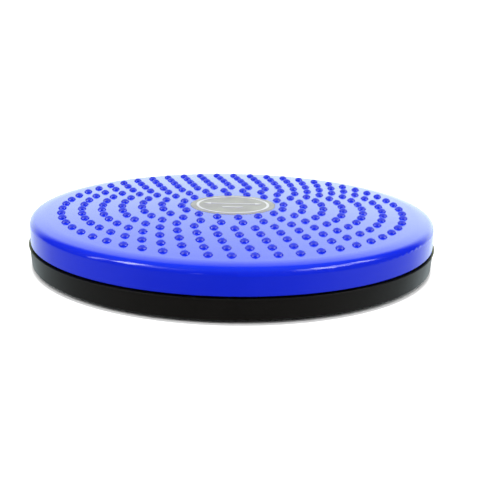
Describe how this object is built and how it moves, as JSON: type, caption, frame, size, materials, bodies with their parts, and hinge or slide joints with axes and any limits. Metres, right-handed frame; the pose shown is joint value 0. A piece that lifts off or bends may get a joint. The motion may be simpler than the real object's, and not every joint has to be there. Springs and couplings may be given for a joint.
{
  "type": "waist-twist balance disc",
  "caption": "Round exercise turntable with massage nubs and a silver centre badge, spinning on a caged ball race over a low black base with rubber feet.",
  "frame": {"origin": "on the floor, under the centre of the disc", "axes": "+Z is the spin axis, up out of the nubbed top; +X is to the right as one stands in front, +Y away"},
  "size_m": [0.252, 0.252, 0.0353],
  "materials": {
    "blue_plastic": "glossy moulded",
    "badge_silver": "silver-grey printed disc",
    "black_plastic": "satin moulded",
    "bearing_plastic": "natural nylon",
    "cage_plastic": "natural nylon",
    "race_steel": "pressed and zinc plated",
    "ball_steel": "polished",
    "zinc_steel": "zinc plated",
    "foot_rubber": "matt"
  },
  "bodies": {
    "base": {"base": "black_plastic", "lower_race": "race_steel", "pivot_bolt": "zinc_steel", "hub_spacer": "bearing_plastic", "nut_washer": "zinc_steel", "lock_nut": "zinc_steel", "lock_nut_insert": "bearing_plastic", "rubber_foot_1": "foot_rubber", "rubber_foot_2": "foot_rubber", "rubber_foot_3": "foot_rubber", "rubber_foot_4": "foot_rubber", "rubber_foot_5": "foot_rubber", "rubber_foot_6": "foot_rubber"},
    "turntable": {"top_plate": "blue_plastic", "hub_bush": "bearing_plastic", "upper_race": "race_steel", "centre_badge": "badge_silver"},
    "cage": {"ball_cage": "cage_plastic"},
    "ball_01": {"ball_01": "ball_steel"},
    "ball_02": {"ball_02": "ball_steel"},
    "ball_03": {"ball_03": "ball_steel"},
    "ball_04": {"ball_04": "ball_steel"},
    "ball_05": {"ball_05": "ball_steel"},
    "ball_06": {"ball_06": "ball_steel"},
    "ball_07": {"ball_07": "ball_steel"},
    "ball_08": {"ball_08": "ball_steel"},
    "ball_09": {"ball_09": "ball_steel"},
    "ball_10": {"ball_10": "ball_steel"},
    "ball_11": {"ball_11": "ball_steel"},
    "ball_12": {"ball_12": "ball_steel"},
    "ball_13": {"ball_13": "ball_steel"},
    "ball_14": {"ball_14": "ball_steel"},
    "ball_15": {"ball_15": "ball_steel"},
    "ball_16": {"ball_16": "ball_steel"}
  },
  "joints": [
    {"name": "turntable_spin", "type": "hinge", "parent": "base", "child": "turntable", "pos_m": [0, 0, 0.0175], "axis": [0, 0, 1], "continuous": true},
    {"name": "cage_orbit", "type": "hinge", "parent": "base", "child": "cage", "pos_m": [0, 0, 0.0167], "axis": [0, 0, 1], "continuous": true},
    {"name": "ball_01_roll", "type": "hinge", "parent": "cage", "child": "ball_01", "pos_m": [0.052, 0, 0.0167], "axis": [1, 0, 0], "continuous": true},
    {"name": "ball_02_roll", "type": "hinge", "parent": "cage", "child": "ball_02", "pos_m": [0.04804, 0.0199, 0.0167], "axis": [0.9239, 0.3827, 0], "continuous": true},
    {"name": "ball_03_roll", "type": "hinge", "parent": "cage", "child": "ball_03", "pos_m": [0.03677, 0.03677, 0.0167], "axis": [0.7071, 0.7071, 0], "continuous": true},
    {"name": "ball_04_roll", "type": "hinge", "parent": "cage", "child": "ball_04", "pos_m": [0.0199, 0.04804, 0.0167], "axis": [0.3827, 0.9239, 0], "continuous": true},
    {"name": "ball_05_roll", "type": "hinge", "parent": "cage", "child": "ball_05", "pos_m": [0, 0.052, 0.0167], "axis": [0, 1, 0], "continuous": true},
    {"name": "ball_06_roll", "type": "hinge", "parent": "cage", "child": "ball_06", "pos_m": [-0.0199, 0.04804, 0.0167], "axis": [-0.3827, 0.9239, 0], "continuous": true},
    {"name": "ball_07_roll", "type": "hinge", "parent": "cage", "child": "ball_07", "pos_m": [-0.03677, 0.03677, 0.0167], "axis": [-0.7071, 0.7071, 0], "continuous": true},
    {"name": "ball_08_roll", "type": "hinge", "parent": "cage", "child": "ball_08", "pos_m": [-0.04804, 0.0199, 0.0167], "axis": [-0.9239, 0.3827, 0], "continuous": true},
    {"name": "ball_09_roll", "type": "hinge", "parent": "cage", "child": "ball_09", "pos_m": [-0.052, 0, 0.0167], "axis": [-1, 0, 0], "continuous": true},
    {"name": "ball_10_roll", "type": "hinge", "parent": "cage", "child": "ball_10", "pos_m": [-0.04804, -0.0199, 0.0167], "axis": [-0.9239, -0.3827, 0], "continuous": true},
    {"name": "ball_11_roll", "type": "hinge", "parent": "cage", "child": "ball_11", "pos_m": [-0.03677, -0.03677, 0.0167], "axis": [-0.7071, -0.7071, 0], "continuous": true},
    {"name": "ball_12_roll", "type": "hinge", "parent": "cage", "child": "ball_12", "pos_m": [-0.0199, -0.04804, 0.0167], "axis": [-0.3827, -0.9239, 0], "continuous": true},
    {"name": "ball_13_roll", "type": "hinge", "parent": "cage", "child": "ball_13", "pos_m": [0, -0.052, 0.0167], "axis": [0, -1, 0], "continuous": true},
    {"name": "ball_14_roll", "type": "hinge", "parent": "cage", "child": "ball_14", "pos_m": [0.0199, -0.04804, 0.0167], "axis": [0.3827, -0.9239, 0], "continuous": true},
    {"name": "ball_15_roll", "type": "hinge", "parent": "cage", "child": "ball_15", "pos_m": [0.03677, -0.03677, 0.0167], "axis": [0.7071, -0.7071, 0], "continuous": true},
    {"name": "ball_16_roll", "type": "hinge", "parent": "cage", "child": "ball_16", "pos_m": [0.04804, -0.0199, 0.0167], "axis": [0.9239, -0.3827, 0], "continuous": true}
  ],
  "couplings": [
    {"joint": "cage_orbit", "follows": "turntable_spin", "ratio": 0.5},
    {"joint": "ball_01_roll", "follows": "turntable_spin", "ratio": -6.5},
    {"joint": "ball_02_roll", "follows": "turntable_spin", "ratio": -6.5},
    {"joint": "ball_03_roll", "follows": "turntable_spin", "ratio": -6.5},
    {"joint": "ball_04_roll", "follows": "turntable_spin", "ratio": -6.5},
    {"joint": "ball_05_roll", "follows": "turntable_spin", "ratio": -6.5},
    {"joint": "ball_06_roll", "follows": "turntable_spin", "ratio": -6.5},
    {"joint": "ball_07_roll", "follows": "turntable_spin", "ratio": -6.5},
    {"joint": "ball_08_roll", "follows": "turntable_spin", "ratio": -6.5},
    {"joint": "ball_09_roll", "follows": "turntable_spin", "ratio": -6.5},
    {"joint": "ball_10_roll", "follows": "turntable_spin", "ratio": -6.5},
    {"joint": "ball_11_roll", "follows": "turntable_spin", "ratio": -6.5},
    {"joint": "ball_12_roll", "follows": "turntable_spin", "ratio": -6.5},
    {"joint": "ball_13_roll", "follows": "turntable_spin", "ratio": -6.5},
    {"joint": "ball_14_roll", "follows": "turntable_spin", "ratio": -6.5},
    {"joint": "ball_15_roll", "follows": "turntable_spin", "ratio": -6.5},
    {"joint": "ball_16_roll", "follows": "turntable_spin", "ratio": -6.5}
  ]
}
